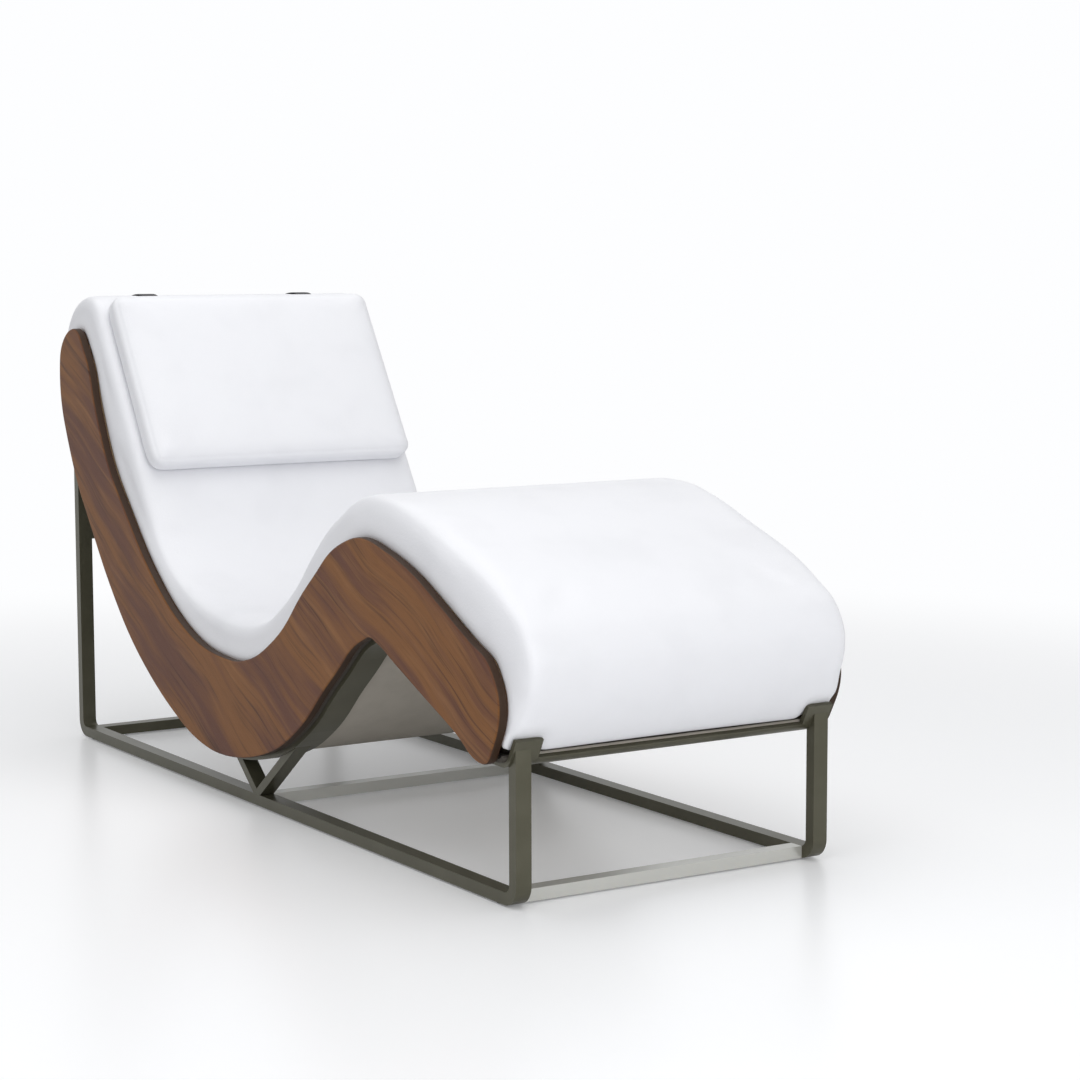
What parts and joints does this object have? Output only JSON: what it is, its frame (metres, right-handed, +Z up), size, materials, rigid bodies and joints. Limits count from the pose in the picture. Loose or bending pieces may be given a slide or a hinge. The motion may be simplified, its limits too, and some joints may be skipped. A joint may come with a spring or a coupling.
{
  "type": "relaxation lounger",
  "caption": "Wave-shaped spa lounger: leather pad on a walnut-sided shell in a steel frame, with a sliding headrest held by straps and a counterweight bar.",
  "frame": {"origin": "on the floor under the middle of the lounger", "axes": "+Z up, +Y towards the head end, +X to the right when looking along +Y from the foot end"},
  "size_m": [0.658, 1.8106, 0.9133],
  "materials": {
    "frame_metal": "dark olive bronze lacquer, satin",
    "pale_metal": "pale satin metal",
    "glide_plastic": "matt",
    "walnut": "oiled walnut, satin",
    "plywood": "raw",
    "dowel_wood": "raw beech",
    "screw_steel": "blackened",
    "underside_cloth": "pale grey lining",
    "white_leather": "soft white leather",
    "black_webbing": "woven webbing",
    "weight_steel": "turned"
  },
  "bodies": {
    "lounger": {"front_floor_bar": "pale_metal", "middle_floor_bar": "pale_metal", "side_loop_left": "frame_metal", "side_loop_right": "frame_metal", "rear_floor_bar": "frame_metal", "post_bar": "frame_metal", "rear_brace_left": "frame_metal", "rear_brace_right": "frame_metal", "front_brace_left": "frame_metal", "front_brace_right": "frame_metal", "shell_strip_left": "frame_metal", "shell_strip_right": "frame_metal", "nose_strip": "frame_metal", "floor_glides": "glide_plastic", "walnut_panel_left": "walnut", "walnut_panel_right": "walnut", "deck_board": "plywood", "nose_rib": "plywood", "shin_rib": "plywood", "knee_rib": "plywood", "thigh_rib": "plywood", "front_seat_rib": "plywood", "seat_rib": "plywood", "hip_rib": "plywood", "lumbar_rib": "plywood", "back_rib": "plywood", "head_rail": "plywood", "rib_dowels": "dowel_wood", "strip_screws": "screw_steel", "underside_panel": "underside_cloth", "seat_pad": "white_leather", "strap_crest_left": "black_webbing", "strap_crest_right": "black_webbing"},
    "headrest": {"headrest_cushion": "white_leather", "headrest_board": "plywood", "strap_tab_left": "black_webbing", "strap_tab_right": "black_webbing"},
    "counterweight": {"weight_core": "weight_steel", "weight_sleeve": "black_webbing", "weight_end_discs": "weight_steel", "strap_loop_left": "black_webbing", "strap_loop_right": "black_webbing", "strap_drop_left": "black_webbing", "strap_drop_right": "black_webbing"}
  },
  "joints": [
    {"name": "headrest_slide", "type": "slide", "parent": "lounger", "child": "headrest", "axis": [0, -0.5294, -0.8484], "range_m": [0, 0.095], "deforming": ["strap_tab_left", "strap_tab_right"]},
    {"name": "counterweight_slide", "type": "slide", "parent": "lounger", "child": "counterweight", "axis": [0, 0, 1], "range_m": [0, 0.095], "deforming": ["strap_drop_left", "strap_drop_right"]}
  ],
  "couplings": [
    {"joint": "counterweight_slide", "follows": "headrest_slide", "ratio": 1}
  ]
}
